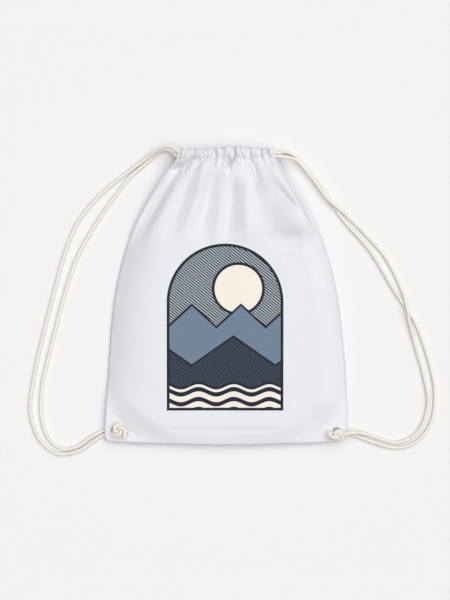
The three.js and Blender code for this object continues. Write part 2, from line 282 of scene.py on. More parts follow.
RIGHT_ROUTE = [
    (179, -208.5, 14.5), (187, -207, 12.5), (199, -206.5, 8.5), (214, -209.5, 3.6),
    (232, -215.5, LIE), (262, -222, LIE), (292, -206.5, LIE), (308, -165, LIE),
    (301, -117, LIE), (291, -82, LIE), (279.5, -38.5, 5), (276, -19, 8.1),
    (269, 8, 3.2), (242, 62, LIE), (204, 104, LIE), (186, 122, 3.2),
    (172.3, 133.8, 6.9), (162, 142.5, 8.1), (151.5, 153, 7.2), (140.5, 168.5, 6.6),
    (126, 187.5, 6.8), (108.5, 206.5, 9.5), (92, 211, 19), (73, 212.2, 24.7),
    (47, 212.6, 26.2), (2, 212.6, 26.9), (-69, 212.6, 24.7), (-76, 213.4, 22.2),
    (-78.5, 215.4, 15.8), (-76, 217.4, 9.4), (-69, 218.2, 6.9), (2, 218.2, 6.9),
    (73, 218.2, 6.9), (94, 219.8, 5), (113, 207.5, 3), (145.5, 169.5, LIE),
    (162, 142.5, LIE), (180, 116, LIE), (220, 70, LIE), (259, 6, LIE),
    (276, -19, LIE), (287, -36, LIE), (303, -77, LIE), (318, -140, LIE),
    (313, -190, LIE), (290, -221, LIE), (258, -230, LIE), (208, -215.5, LIE),
    (179, -204, 2.95), (170, -203.1, 5), (168, -203, 9.2), (168.5, -205.5, 13),
]

cord_left, left_line, left_length = plaited_cord("strap_cord_left", LEFT_ROUTE)
cord_right, right_line, right_length = plaited_cord("strap_cord_right", RIGHT_ROUTE)

# %% [markdown]
# ## Knots
# Both ends of a cord are tied together in an overhand knot that can't slip back through the
# hole in the corner. The line of such a knot is an open trefoil: a point goes twice round the
# middle while its distance and height swing three times. Two cut tails stand out of it.

# %% Overhand knots
KNOT_REACH = 6.0
KNOT_SWING = 0.5
KNOT_WAVES = 1.5
KNOT_OPENING = 0.42
KNOT_STEPS = 120
KNOT_STRIDE = 6
KNOT_FULLNESS = 1.08
TAIL_REACH = 14.5
LEFT_KNOT = {
    "centre": (-162, -203, 16), "stretch": (1, 0.9, 1), "turn": math.radians(-8),
    "tails": [(math.radians(-44), 2.0), (math.radians(14), -1.5)],
}
RIGHT_KNOT = {
    "centre": (169, -210, 15.2), "stretch": (1.1, 0.7, 1), "turn": math.radians(180),
    "tails": [(math.radians(-30), 1.5), (math.radians(16), -1.5)],
}


def knot_places(centre, stretch, turn, tails):
    """Open trefoil: distance is reach times (1 + half cos 1.5u), height is half the reach times
    sin 1.5u, with u going twice round. A tail at each end leads outwards at its own angle and
    height. The knot is then turned, stretched and put in its place."""
    u = np.linspace(KNOT_OPENING, 4 * np.pi - KNOT_OPENING, KNOT_STEPS)[::KNOT_STRIDE]
    distance = KNOT_REACH * (1 + KNOT_SWING * np.cos(KNOT_WAVES * u))
    height = KNOT_SWING * KNOT_REACH * np.sin(KNOT_WAVES * u)
    loop = np.column_stack([distance * np.cos(u), distance * np.sin(u), height])
    ends = [
        (TAIL_REACH * math.cos(angle), TAIL_REACH * math.sin(angle), tail_height)
        for angle, tail_height in tails
    ]
    places = np.vstack([ends[:1], loop, ends[1:]])
    cosine, sine = math.cos(turn), math.sin(turn)
    turned = np.column_stack([
        cosine * places[:, 0] - sine * places[:, 1],
        sine * places[:, 0] + cosine * places[:, 1],
        places[:, 2],
    ])
    return np.asarray(centre) + turned * np.asarray(stretch)


knot_left = plaited_cord("strap_knot_left", knot_places(**LEFT_KNOT), KNOT_FULLNESS)[0]
knot_right = plaited_cord("strap_knot_right", knot_places(**RIGHT_KNOT), KNOT_FULLNESS)[0]

# %% [markdown]
# ## Outline of the bag
# Seen from above the bag is wide at the bottom and drawn in at the mouth. A short table gives
# half the width at a few heights, and cubic pieces run through it. Each sheet is then described
# by two numbers: how far across from side to side, from -1 to 1, and how far up it rises.

# %% Plan of a sheet
BOTTOM_Y = -224.0
STITCH_Y = 206.6
BODY_LENGTH = STITCH_Y - BOTTOM_Y
BOTTOM_BOW = 4.5
LEFT_CORNER_RADIUS = 11.0
RIGHT_CORNER_RADIUS = 16.0
OUTLINE_Y = np.array([-224, -120, -20, 50, 110, 160, 190, 207, 225], dtype=float)
OUTLINE_HALF = np.array([183.4, 180, 171.2, 157.7, 135.4, 107.4, 89, 76, 71])
OUTLINE_SHIFT = np.array([-0.9, 1.6, 0.6, 0.4, -0.9, -1.4, 0, 1, 1])


def ease(t):
    """Smooth step from 0 to 1 with level ends."""
    t = np.clip(t, 0, 1)
    return t * t * (3 - 2 * t)


def mix(a, b, t):
    """Straight blend from a to b."""
    return a + (b - a) * t


def bell(t):
    """Smooth hump: 1 in the middle, 0 from 1 outwards."""
    return (1 - np.clip(np.abs(t), 0, 1) ** 2) ** 2


def outline_at(y, column):
    """Cubic Hermite through the table: its slope at a row joins the rows on either side."""
    slope = np.empty_like(column)
    slope[1:-1] = (column[2:] - column[:-2]) / (OUTLINE_Y[2:] - OUTLINE_Y[:-2])
    slope[0] = (column[1] - column[0]) / (OUTLINE_Y[1] - OUTLINE_Y[0])
    slope[-1] = (column[-1] - column[-2]) / (OUTLINE_Y[-1] - OUTLINE_Y[-2])
    row = np.clip(np.searchsorted(OUTLINE_Y, y, side="right") - 1, 0, len(OUTLINE_Y) - 2)
    span = OUTLINE_Y[row + 1] - OUTLINE_Y[row]
    t = np.clip((y - OUTLINE_Y[row]) / span, 0, 1)
    start = (2 * t**3 - 3 * t**2 + 1) * column[row] + (t**3 - 2 * t**2 + t) * span * slope[row]
    end = (3 * t**2 - 2 * t**3) * column[row + 1] + (t**3 - t**2) * span * slope[row + 1]
    return start + end


def plan(across, rise):
    """Plan place of a sheet point, and how far it lies inside the side seam. The bottom corners
    are rounded, and the bottom edge bows up towards them."""
    level = BOTTOM_Y + rise
    radius = np.where(across < 0, LEFT_CORNER_RADIUS, RIGHT_CORNER_RADIUS)
    in_corner = radius - np.minimum(rise, radius)
    rounding = radius - np.sqrt(radius**2 - in_corner**2)
    half = outline_at(level, OUTLINE_HALF) - rounding
    bow = BOTTOM_BOW * across**2 * (1 - ease(rise / BODY_LENGTH))
    x = outline_at(level, OUTLINE_SHIFT) + half * across
    return x, level + bow, half * (1 - np.abs(across))


print("the body is", BODY_LENGTH, "mm long and", 2 * OUTLINE_HALF.max(), "mm wide")

# %% [markdown]
# ## Height of the sheets
# The back sheet lies on the floor and the front sheet stands over it in a low, flat-topped
# dome, because there is air and a little cloth inside. Both come down to the seam. It floats a
# few millimetres above the floor along the bottom, lies nearly on it along the sides, and stands
# off it on the right below the mouth. The bottom corners are pulled flat by the cords. The
# sheets are thinner than the solids' walls and lie in the middle of them.

# %% Dome and floor
CLOTH_WALL = 1.2
CLOTH_THICKNESS = 0.6
SEAM_GAP = 0.3
BOTTOM_LIFT = 5.0
BOTTOM_LIFT_REACH = 60.0
NECK_SEAM_Z = 15.7
NECK_SEAM_START = 120.0
SEAM_END = 192.0
SIDE_SINK = 5.4
SIDE_SINK_START = -178.0
SIDE_SINK_END = 60.0
SIDE_SINK_EASE = 60.0
RIGHT_LIFT = 14.0
RIGHT_LIFT_Y = 135.0
RIGHT_LIFT_REACH = 80.0
CROWN_Z = 27.5
FRONT_HEM_Z = 24.7
FRONT_HEM_ARCH = 2.0
CROWN_FALL_START = 80.0
BOTTOM_CROWN_Z = 21.0
BOTTOM_CROWN_END = -40.0
BACK_Z = CLOTH_WALL / 2
BACK_HEM_Z = 6.9
BACK_LIFT_START = 150.0
LEFT_ROLL = 64.0
RIGHT_ROLL = 40.0
BOTTOM_ROLL = 42.0
BACK_ROLL = 32.0
ROLL_POWER = 2.2
CORNER_ALONG_SIDE = 46.0
CORNER_ALONG_BOTTOM = 57.0
CORNER_SETBACK = 4.0
CORNER_EASE = 46.0
FRONT = 1
BACK = -1


def roll_off(distance, reach):
    """Rounded shoulder: 0 at the seam and 1 from the reach inwards."""
    return 1 - (1 - np.clip(distance / reach, 0, 1)) ** ROLL_POWER


def corner_fullness(x, y):
    """0 in the flat triangle of a bottom corner, easing to 1 away from its long side."""
    past_side = CORNER_ALONG_SIDE * (OUTLINE_HALF[0] - np.abs(x))
    past_bottom = CORNER_ALONG_BOTTOM * (y - BOTTOM_Y - CORNER_ALONG_SIDE)
    beyond = (past_side + past_bottom) / math.hypot(CORNER_ALONG_SIDE, CORNER_ALONG_BOTTOM)
    return ease((beyond + CORNER_SETBACK) / CORNER_EASE)


def seam_height(side, across, rise, y):
    """Height of a sheet's edge: the seam is lifted along the bottom between the corners and on
    the right below the mouth, sinks towards the floor along the sides, climbs at the neck and
    opens to the hem."""
    climb = ease((y - NECK_SEAM_START) / (SEAM_END - NECK_SEAM_START))
    past_corner = ease((y - SIDE_SINK_START) / SIDE_SINK_EASE)
    before_neck = 1 - ease((y - SIDE_SINK_END) / SIDE_SINK_EASE)
    sink = SIDE_SINK * past_corner * before_neck
    lift = BOTTOM_LIFT * bell(across) * (1 - ease(rise / BOTTOM_LIFT_REACH))
    lift = lift + RIGHT_LIFT * (across > 0) * bell((y - RIGHT_LIFT_Y) / RIGHT_LIFT_REACH)
    sewn = mix(SEAM_Z, NECK_SEAM_Z, climb) + lift - sink + side * (CLOTH_WALL + SEAM_GAP) / 2
    hem = FRONT_HEM_Z if side == FRONT else BACK_HEM_Z
    return mix(sewn, hem, ease((y - SEAM_END) / (STITCH_Y - SEAM_END)))


def sheet_height(side, across, rise):
    """Height of the unfolded sheet: from the seam to the crown or the floor by two shoulders."""
    x, y, inset = plan(across, rise)
    level = BOTTOM_Y + rise
    if side == FRONT:
        fall = ease((level - CROWN_FALL_START) / (STITCH_Y - CROWN_FALL_START))
        climb = ease((level - BOTTOM_Y) / (BOTTOM_CROWN_END - BOTTOM_Y))
        middle = mix(mix(BOTTOM_CROWN_Z, CROWN_Z, climb), FRONT_HEM_Z + FRONT_HEM_ARCH, fall)
        side_roll = np.where(across < 0, LEFT_ROLL, RIGHT_ROLL)
        shoulder = roll_off(inset, side_roll) * roll_off(rise, BOTTOM_ROLL)
    else:
        lift = ease((level - BACK_LIFT_START) / (STITCH_Y - BACK_LIFT_START))
        middle = mix(BACK_Z, BACK_HEM_Z, lift)
        shoulder = roll_off(inset, BACK_ROLL) * roll_off(rise, BACK_ROLL)
    return mix(seam_height(side, across, rise, y), middle, corner_fullness(x, y) * shoulder)


print("crown at", CROWN_Z, "mm, seam at", SEAM_Z, "mm")

# %% [markdown]
# ## Folds
# Drawing the mouth together makes small ruffles at the stitch line. They melt into a few long
# folds that run down the sheet and fade out. A simulation would put them anywhere, so each one
# is a line on the sheet with a depth and a half width on either side. A rounded wedge across the
# line gives its valley, or with a negative depth its ridge. The long ones lie side by side, a
# valley and a ridge by turns. Low waves keep the rest from looking pressed.

# %% Fold lines
FRONT_FOLDS = [
    {"line": [(-50, 212), (-70, 192), (-84, 172), (-99, 147), (-113, 122), (-126, 96), (-140, 60)],
     "left": 22, "right": 14, "depth": 5.5},
    {"line": [(-46, 212), (-60, 194), (-75, 170), (-87, 147), (-100, 124), (-113, 101), (-128, 64)],
     "left": 10, "right": 28, "depth": -1.6},
    {"line": [(-40, 208), (-52, 186), (-59, 170), (-65, 147), (-75, 124), (-86, 101), (-100, 66)],
     "left": 18, "right": 20, "depth": 3.0},
    {"line": [(-24, 222), (-29, 203), (-37, 170), (-44, 147), (-53, 124), (-62, 101), (-74, 60)],
     "left": 18, "right": 20, "depth": -5.5},
    {"line": [(-16, 200), (-25, 170), (-28, 147), (-33, 124), (-35, 101), (-42, 64)],
     "left": 16, "right": 25, "depth": 4.5},
    {"line": [(6, 200), (-1, 170), (-2.5, 147), (-7, 124), (-12, 101), (-20, 64)],
     "left": 25, "right": 14, "depth": -5.5},
    {"line": [(7, 200), (2.5, 170), (3, 147), (2.5, 124), (-1, 101), (-6, 64)],
     "left": 14, "right": 30, "depth": 4.0},
    {"line": [(28, 198), (31, 165), (32, 147), (32.5, 124), (33, 100), (32, 60)],
     "left": 30, "right": 40, "depth": -7.5},
    {"line": [(35, 222), (37, 193), (43, 170), (49, 147), (57, 118)],
     "left": 24, "right": 18, "depth": 4.5},
    {"line": [(60, 208), (76, 190), (88, 170), (102, 147), (114, 126), (126, 104), (137, 68)],
     "left": 60, "right": 18, "depth": -12.5},
    {"line": [(93, 165), (102, 147), (114, 126), (122, 108), (128, 92), (133, 76)],
     "left": 56, "right": 15, "depth": -6},
    {"line": [(-36, 214), (-52, 205), (-68, 196), (-94, 184)], "left": 6, "right": 18, "depth": 5.0},
    {"line": [(-14, 222), (-17, 203), (-20, 188)], "left": 3.5, "right": 5, "depth": 6.5},
    {"line": [(12, 222), (6, 203), (0, 184)], "left": 4, "right": 6.5, "depth": 8.0},
    {"line": [(152, 106), (134, 118), (120, 126), (107, 134), (93, 148), (79, 166), (70, 177), (60, 190)],
     "left": 8, "right": 22, "depth": 3.5},
    {"line": [(118, 88), (100, 91), (84, 92), (66, 95)], "left": 16, "right": 22, "depth": 2.6},
    {"line": [(84, 60), (112, 58)], "left": 8, "right": 6, "depth": 1.3},
    {"line": [(-112, -201), (0, -203), (116, -201)], "left": 5, "right": 5, "depth": 0.9},
    {"line": [(-172, -176), (-150, -198), (-126, -220)], "left": 7, "right": 7, "depth": 1.3},
    {"line": [(172, -176), (150, -198), (126, -220)], "left": 7, "right": 7, "depth": 1.3},
    {"line": [(104, -206), (122, -221)], "left": 7, "right": 7, "depth": 0.7},
]
BACK_FOLDS = [
    {"line": [(-42, 206), (-60, 150), (-80, 96)], "left": 16, "right": 16, "depth": 2.6},
    {"line": [(-8, 206), (-10, 150), (-10, 92)], "left": 16, "right": 16, "depth": 2.6},
    {"line": [(28, 206), (42, 150), (48, 100)], "left": 16, "right": 16, "depth": 2.6},
    {"line": [(58, 206), (84, 160), (104, 122)], "left": 14, "right": 14, "depth": 2.2},
]
FOLD_RISE = 0.2
FOLD_HOLD = 0.55
FOLD_ROUNDING = 0.12
FOLD_POWER = 1.3


def wedge(t):
    """Rounded wedge: 1 in the middle, where it turns in a small arc, and level with 0 from 1 out."""
    rounded = np.sqrt(np.clip(np.abs(t), 0, 1) ** 2 + FOLD_ROUNDING**2)
    height = np.clip(1 + FOLD_ROUNDING**2 / 2 - rounded, 0, None)
    return (height / (1 - FOLD_ROUNDING)) ** FOLD_POWER


def fold_depth(x, y, fold):
    """Wedge across the distance to the fold's line, times a taper along it: it deepens from its
    first end, holds, and fades out towards the last. Seen from above with the line
    running down the bag, it has its own half width to the left and to the right."""
    line = np.asarray(fold["line"], dtype=float)
    run = np.diff(line, axis=0)
    length = np.hypot(run[:, 0], run[:, 1])
    from_start_x = x[..., None] - line[:-1, 0]
    from_start_y = y[..., None] - line[:-1, 1]
    t = np.clip((from_start_x * run[:, 0] + from_start_y * run[:, 1]) / length**2, 0, 1)
    gap = np.hypot(from_start_x - t * run[:, 0], from_start_y - t * run[:, 1])
    turn = run[:, 0] * from_start_y - run[:, 1] * from_start_x
    nearest = np.argmin(gap, axis=-1)[..., None]
    walked = np.concatenate([[0.0], np.cumsum(length)[:-1]]) + t * length
    along = np.take_along_axis(walked, nearest, axis=-1)[..., 0] / length.sum()
    distance = np.take_along_axis(gap, nearest, axis=-1)[..., 0]
    on_right = np.take_along_axis(turn, nearest, axis=-1)[..., 0] > 0
    half = np.where(on_right, fold["right"], fold["left"])
    taper = ease(along / FOLD_RISE) * (1 - ease((along - FOLD_HOLD) / (1 - FOLD_HOLD)))
    return fold["depth"] * wedge(distance / half) * taper


def all_folds(side, x, y):
    """Depth of all the folds of a sheet together."""
    folds = FRONT_FOLDS if side == FRONT else BACK_FOLDS
    return sum(fold_depth(x, y, fold) for fold in folds)


print(len(FRONT_FOLDS), "folds on the front,", len(BACK_FOLDS), "on the back")

# %% [markdown]
# ## Ruffles
# Cloth on a drawstring bunches into uneven ruffles. Their creases are sharp and their crests
# round, which the absolute value of a sine gives. Finer crumples of the same kind, in seeded
# directions, break them up. Both are strongest on the tunnel and melt away below the stitches.

# %% Ruffles, crumples and low waves
CREASES = np.array([-1.0, -0.87, -0.70, -0.49, -0.26, -0.08, 0.08, 0.31, 0.50, 0.67, 0.84, 1.0])
CREASE_DEPTHS = np.array([1.0, 0.9, 0.5, 0.9, 0.9, 0.4, 1.0, 0.5, 1.0, 0.6, 0.8, 1.0])
CREASE_WANDER = [
    {"swing": 0.02, "length": 5.5, "slant": 9},
    {"swing": 0.012, "length": 2.7, "slant": 23},
]
FULL_RUFFLE = 0.2
LEAST_RUFFLE = 0.45
RUFFLE_ROUNDNESS = 0.6
RUFFLE_REACH = 34.0
REACH_MIDDLE = 0.8
REACH_SWING = 0.4
REACH_WAVES = 11
REACH_START = 2
RUFFLE_VALLEY = 3.2
RUFFLE_MIDDLE = 6.0
LIFT_REACH = 64.0
RUFFLE_CREST = {FRONT: 9.4, BACK: 5.6}
STITCH_HOLD = 0.78
STITCH_DIP = 1.2
STITCH_DIP_REACH = 4.0
STITCH_WAVES = 17
MOUTH_HALF = 72.0
CRUMPLES = 7
CRUMPLE_SEED = 3
CRUMPLE_SHORTEST = 5
CRUMPLE_LONGEST = 20
CRUMPLE_LEAN = 0.7
CRUMPLE_STEEPNESS = 0.19
CRUMPLE_START = 8.0
CRUMPLE_END = 14.0
CRUMPLE_BELOW = 0.35
WAVES = 9
WAVE_SEED = 7
WAVE_SHORTEST = 38
WAVE_LONGEST = 150
WAVE_STEEPNESS = 0.0026
WAVE_START = 30
SEAM_MARGIN = 9
PUCKER_HEIGHT = 0.25
PUCKER_STEP = 1.9
PUCKER_DRIFT = 13.0


def ruffle(side, across, rise):
    """Crest height from 0 to 1 of uneven ruffles: the absolute sine of a count that goes up by
    one from crease to crease, with each crease cut to its own depth. Wide ruffles stand higher
    than narrow ones, the creases wander, and the back has them the other way round."""
    wander = sum(
        wave["swing"] * np.sin(rise / wave["length"] + wave["slant"] * across)
        for wave in CREASE_WANDER
    )
    place = np.clip(side * across + wander * (1 - across**2), -1, 1)
    count = np.interp(place, CREASES, np.arange(len(CREASES)))
    width = np.interp(place, (CREASES[1:] + CREASES[:-1]) / 2, np.diff(CREASES))
    crest = np.abs(np.sin(np.pi * count)) ** RUFFLE_ROUNDNESS
    cut = np.interp(place, CREASES, CREASE_DEPTHS) * (1 - crest)
    return (1 - cut) * np.clip(width / FULL_RUFFLE, LEAST_RUFFLE, 1)


def crumple(across, rise):
    """Small sharp dents: a sum of absolute sines of seeded direction, with level average, full at
    the rim and weak below the stitches."""
    draw = np.random.default_rng(CRUMPLE_SEED)
    total = np.zeros_like(across)
    for length in np.geomspace(CRUMPLE_SHORTEST, CRUMPLE_LONGEST, CRUMPLES):
        heading = draw.uniform(-CRUMPLE_LEAN, CRUMPLE_LEAN)
        start = draw.uniform(0, np.pi)
        swing = np.pi / length * (MOUTH_HALF * across * math.cos(heading) + rise * math.sin(heading))
        total += CRUMPLE_STEEPNESS * length * (np.abs(np.sin(swing + start)) - 2 / np.pi)
    above = ease((rise - BODY_LENGTH + CRUMPLE_START) / (CRUMPLE_START + CRUMPLE_END))
    return total * mix(CRUMPLE_BELOW, 1, above)


def swell(side, across, rise):
    """How far the ruffles stand out of the sheet on the tunnel."""
    standing = mix(RUFFLE_VALLEY, RUFFLE_CREST[side], ruffle(side, across, rise))
    return np.maximum(standing + crumple(across, rise), RUFFLE_VALLEY)


def low_waves(x, y):
    """Sum of slow sine waves in seeded directions, about half a millimetre high."""
    draw = np.random.default_rng(WAVE_SEED)
    total = np.zeros_like(x)
    for length in np.geomspace(WAVE_SHORTEST, WAVE_LONGEST, WAVES):
        heading = draw.uniform(0, 2 * np.pi)
        start = draw.uniform(0, 2 * np.pi)
        swing = 2 * np.pi / length * (x * math.cos(heading) + y * math.sin(heading))
        total += WAVE_STEEPNESS * length * np.sin(swing + start)
    return total


def folded_height(side, across, rise):
    """Sheet height with ruffles, folds, waves and the pucker of the seam. All of it fades out at
    the side seam, except the pucker, which both sheets share."""
    x, y, inset = plan(across, rise)
    below = BODY_LENGTH - rise
    reach = RUFFLE_REACH * (REACH_MIDDLE + REACH_SWING * np.sin(REACH_WAVES * across + REACH_START))
    lift = RUFFLE_MIDDLE * (1 - ease(below / LIFT_REACH))
    pleats = (swell(side, across, rise) - RUFFLE_MIDDLE) * (1 - ease(below / reach))
    standing = STITCH_HOLD * (lift + pleats)
    dip = STITCH_DIP * bell(below / STITCH_DIP_REACH) * np.sin(STITCH_WAVES * across) ** 2
    outward = standing - dip - all_folds(side, x, y)
    inner = ease(inset / SEAM_MARGIN)
    at_seam = 1 - ease(np.minimum(inset, rise) / SEAM_MARGIN)
    stitches = np.sin((rise + x) / PUCKER_STEP) * np.sin((rise - x) / PUCKER_DRIFT)
    pucker = PUCKER_HEIGHT * stitches * at_seam
    wave = low_waves(x, y) * ease(rise / WAVE_START) if side == FRONT else 0.0
    height = sheet_height(side, across, rise) + pucker + inner * (wave + side * outward)
    return np.maximum(height, CLOTH_THICKNESS / 2)


print(len(CREASES) - 1, "ruffles across the mouth,", WAVES, "low waves on the front")

# %% [markdown]
# ## Hem tunnels
# Above the stitch line the sheet goes on over the cord, back down behind it and is caught in
# the same stitches. In a section that is an almost closed loop, so the hem is a function of the
# place across and of the angle round the loop. The ruffles swell it and scallop its top edge.

# %% Hem surface
HEM_Y = 215.2
HEM_HALF_LENGTH = 8.2
HEM_NECK = 5.0
HEM_INNER = 5.6
HEM_TOP = {FRONT: 7.6, BACK: 10.2}
HEM_SCALLOP = 3.0
HEM_MIDDLE_CREST = 0.5
HEM_SWAY = 1.5
HEM_SWAY_TURNS = 4.3
HEM_SWAY_START = 1.0
HEM_RIPPLE = 0.6
HEM_LEAST = 6.1
HEM_BOXINESS = 0.7
HEM_END_PINCH = 0.4
HEM_END_SHARE = 0.08
HEM_START = math.pi - math.asin(STITCH_HOLD ** (1 / HEM_BOXINESS))
HEM_END = math.radians(-146)


def hem_surface(side, across, angle):
    """Loop round the tunnel: y swings by its half length times cosine, z by its thickness times
    a flattened sine, measured from the sheet's top edge. Crests are thicker and stand higher."""
    rise = BODY_LENGTH + HEM_HALF_LENGTH * (HEM_START - angle)
    crest = ruffle(side, across, rise)
    near_end = 1 - ease((1 - np.abs(across)) / HEM_END_SHARE)
    sway = HEM_SWAY * np.sin(HEM_SWAY_TURNS * across + HEM_SWAY_START)
    ripple = HEM_RIPPLE * crumple(across, np.full_like(across, BODY_LENGTH + HEM_HALF_LENGTH))
    scallop = HEM_SCALLOP * (crest - HEM_MIDDLE_CREST)
    top = np.maximum(HEM_TOP[side] + scallop + sway + ripple, HEM_LEAST)
    top = top * (1 - HEM_END_PINCH * near_end)
    reach = np.where(np.cos(angle) > 0, top, HEM_HALF_LENGTH)
    y = HEM_Y + reach * np.cos(angle)
    x = outline_at(y, OUTLINE_SHIFT) + outline_at(y, OUTLINE_HALF) * across
    outer = np.maximum(swell(side, across, rise) - all_folds(side, x, y), RUFFLE_VALLEY)
    inner = mix(HEM_NECK, HEM_INNER, crest)
    thickness = np.where(angle > 0, outer, inner)
    bulge = np.sign(angle) * np.abs(np.sin(angle)) ** HEM_BOXINESS
    z = sheet_height(side, across, np.full_like(across, BODY_LENGTH)) + side * thickness * bulge
    return x, y, np.maximum(z, CLOTH_THICKNESS / 2)


print("hem tunnels are", 2 * HEM_HALF_LENGTH, "mm long in section")

# %% [markdown]
# ## The two sheets
# Body and hem are one grid of points, so the cloth runs on without a break. Two maps go with
# it: the flat cut, for the weave, and the plan of the bag, for what is printed on it. Each
# bottom corner has a hole for the cord: the quads there are left out and the points round the
# gap are drawn onto a circle. A Solidify modifier then gives the cloth its thickness.

# %% Front and back cloth
CUT_HALF_WIDTH = 185.0
HOLE_X = 168.0
HOLE_Y = -203.0
LEFT_HOLE_RADIUS = 6.0
RIGHT_HOLE_RADIUS = 4.2
ROW_CROWDING = 0.5
FRONT_GRID = {"columns": 222, "body_rows": 168, "hem_rows": 36}
BACK_GRID = {"columns": 150, "body_rows": 120, "hem_rows": 24}


def sheet_grid(side, columns, body_rows, hem_rows):
    """Points of one sheet, body rows first and then hem rows, with their flat places. The body
    rows lie closer together near both ends."""
    across = np.linspace(-1, 1, columns)[None, :]
    step = np.linspace(0, 1, body_rows)
    crowded = step - ROW_CROWDING * np.sin(2 * np.pi * step) / (2 * np.pi)
    rise, across_body = np.broadcast_arrays(BODY_LENGTH * crowded[:, None], across)
    x, y, _ = plan(across_body, rise)
    body = np.stack([x, y, folded_height(side, across_body, rise)], axis=-1)
    around = np.linspace(HEM_START, HEM_END, hem_rows)
    angle, across_hem = np.broadcast_arrays(around[:, None], across)
    hem = np.stack(hem_surface(side, across_hem, angle), axis=-1)
    hem_rise = BODY_LENGTH + HEM_HALF_LENGTH * (HEM_START - angle)
    flat_rise = np.vstack([rise, hem_rise])
    flat_across = np.vstack([across_body, across_hem])
    flat = np.stack([CUT_HALF_WIDTH * flat_across, flat_rise], axis=-1)
    return np.vstack([body, hem]), flat


def holed_quads(points, quads):
    """Points with the gap drawn onto the hole's circle, quads without those that touch a corner
    hole, and the numbers of the grid points that are left."""
    radius = np.where(points[:, 0] < 0, LEFT_HOLE_RADIUS, RIGHT_HOLE_RADIUS)
    from_hole = np.hypot(np.abs(points[:, 0]) - HOLE_X, points[:, 1] - HOLE_Y)
    cut = np.any((from_hole < radius)[quads], axis=1)
    rim = np.intersect1d(quads[cut], quads[~cut])
    centre = np.column_stack([np.sign(points[rim, 0]) * HOLE_X, np.full(len(rim), HOLE_Y)])
    spoke = unit(points[rim, :2] - centre)
    points = points.copy()
    points[rim, :2] = centre + radius[rim, None] * spoke
    used, renumbered = np.unique(quads[~cut], return_inverse=True)
    return points[used], renumbered.reshape(-1, 4), used


def cloth_sheet(name, side, columns, body_rows, hem_rows):
    """One sheet of the bag with its hem, its holes and its thickness."""
    grid, flat = sheet_grid(side, columns, body_rows, hem_rows)
    quads = grid_quads(grid.shape[0], columns)
    quads = quads if side == FRONT else quads[:, ::-1]
    points, faces, used = holed_quads(grid.reshape(-1, 3), quads)
    maps = {"cut": flat.reshape(-1, 2)[used] * MM, "plan": points[:, :2] * MM}
    sheet = make_piece(name, points, faces.tolist(), maps)
    wall = sheet.modifiers.new("thickness", "SOLIDIFY")
    wall.thickness = CLOTH_THICKNESS * MM
    wall.offset = 0
    wall.use_even_offset = False
    return sheet, grid


front_cloth, front_points = cloth_sheet("front_cloth", FRONT, **FRONT_GRID)
back_cloth, _ = cloth_sheet("back_cloth", BACK, **BACK_GRID)

# %% [markdown]
# ## Seam edge
# Front and back are sewn right sides together and turned, so the seam shows as one rounded
# edge. It is a slim tube along the outline at seam height, which also closes the small gap
# that the two walls keep.

# %% Side and bottom seam
SEAM_RADIUS = 0.8
SEAM_SIDES = 10
SEAM_STEP = 2.2


def seam_line():
    """Middle line between the two sheets' edges: down the left side, along the bottom and up
    the right side."""
    sewn_rows = np.count_nonzero(front_points[:FRONT_GRID["body_rows"], 0, 1] < SEAM_END)
    edges = front_points[:sewn_rows]
    left = edges[::-1, 0]
    bottom = edges[0, 1:-1]
    right = edges[:, -1]
    line = np.vstack([left, bottom, right])
    line[:, 2] -= (CLOTH_WALL + SEAM_GAP) / 2
    return line


seam_places, seam_along = even_steps(seam_line(), SEAM_STEP)
seam_radii = np.full((len(seam_places), SEAM_SIDES), SEAM_RADIUS)
seam_points = tube_rings(seam_places, seam_radii, SEAM_SIDES).reshape(-1, 3)
seam_around = np.linspace(0, 2 * np.pi * SEAM_RADIUS, SEAM_SIDES)
seam_cut = np.column_stack([np.tile(seam_around, len(seam_places)), np.repeat(seam_along, SEAM_SIDES)])
seam_maps = {"cut": seam_cut * MM, "plan": seam_points[:, :2] * MM}
seam_edge = make_piece("seam_edge", seam_points, tube_faces(len(seam_places), SEAM_SIDES), seam_maps)

# %% [markdown]
# ## Node helpers
# Finishes are node graphs. A long chain of Math nodes is easier to read as one line of code for
# each node, so a small helper makes the node and joins numbers or sockets to its inputs.

# %% Node helpers
def calc(tree, operation, *values):
    """One Math node: each value is a number or another node's output."""
    node = tree.nodes.new("ShaderNodeMath")
    node.operation = operation
    for socket, value in zip(node.inputs, values):
        if isinstance(value, (int, float)):
            socket.default_value = value
        else:
            tree.links.new(value, socket)
    return node.outputs[0]


def blend(tree, mask, under, over):
    """One Mix node for colours: under where the mask is 0, over where it is 1."""
    node = tree.nodes.new("ShaderNodeMix")
    node.data_type = "RGBA"
    tree.links.new(mask, node.inputs["Factor"])
    for socket, colour in ((node.inputs["A"], under), (node.inputs["B"], over)):
        if isinstance(colour, tuple):
            socket.default_value = (*colour, 1)
        else:
            tree.links.new(colour, socket)
    return node.outputs["Result"]


def finish_group(name, inputs, outputs):
    """Empty shader group with named sockets; returns its tree, its inputs and its outputs."""
    tree = bpy.data.node_groups.new(name, "ShaderNodeTree")
    for socket_name, kind in inputs.items():
        tree.interface.new_socket(socket_name, in_out="INPUT", socket_type=kind)
    for socket_name, kind in outputs.items():
        tree.interface.new_socket(socket_name, in_out="OUTPUT", socket_type=kind)
    entry = tree.nodes.new("NodeGroupInput")
    result = tree.nodes.new("NodeGroupOutput")
    return tree, entry.outputs, result.inputs


def place_group(tree, group, map_name, **values):
    """A group in a material, fed with one of the piece's own maps and with plain values."""
    node = tree.nodes.new("ShaderNodeGroup")
    node.node_tree = group
    surface_map = tree.nodes.new("ShaderNodeUVMap")
    surface_map.uv_map = map_name
    tree.links.new(surface_map.outputs["UV"], node.inputs["Place"])
    for socket_name, value in values.items():
        node.inputs[socket_name].default_value = value
    return node.outputs


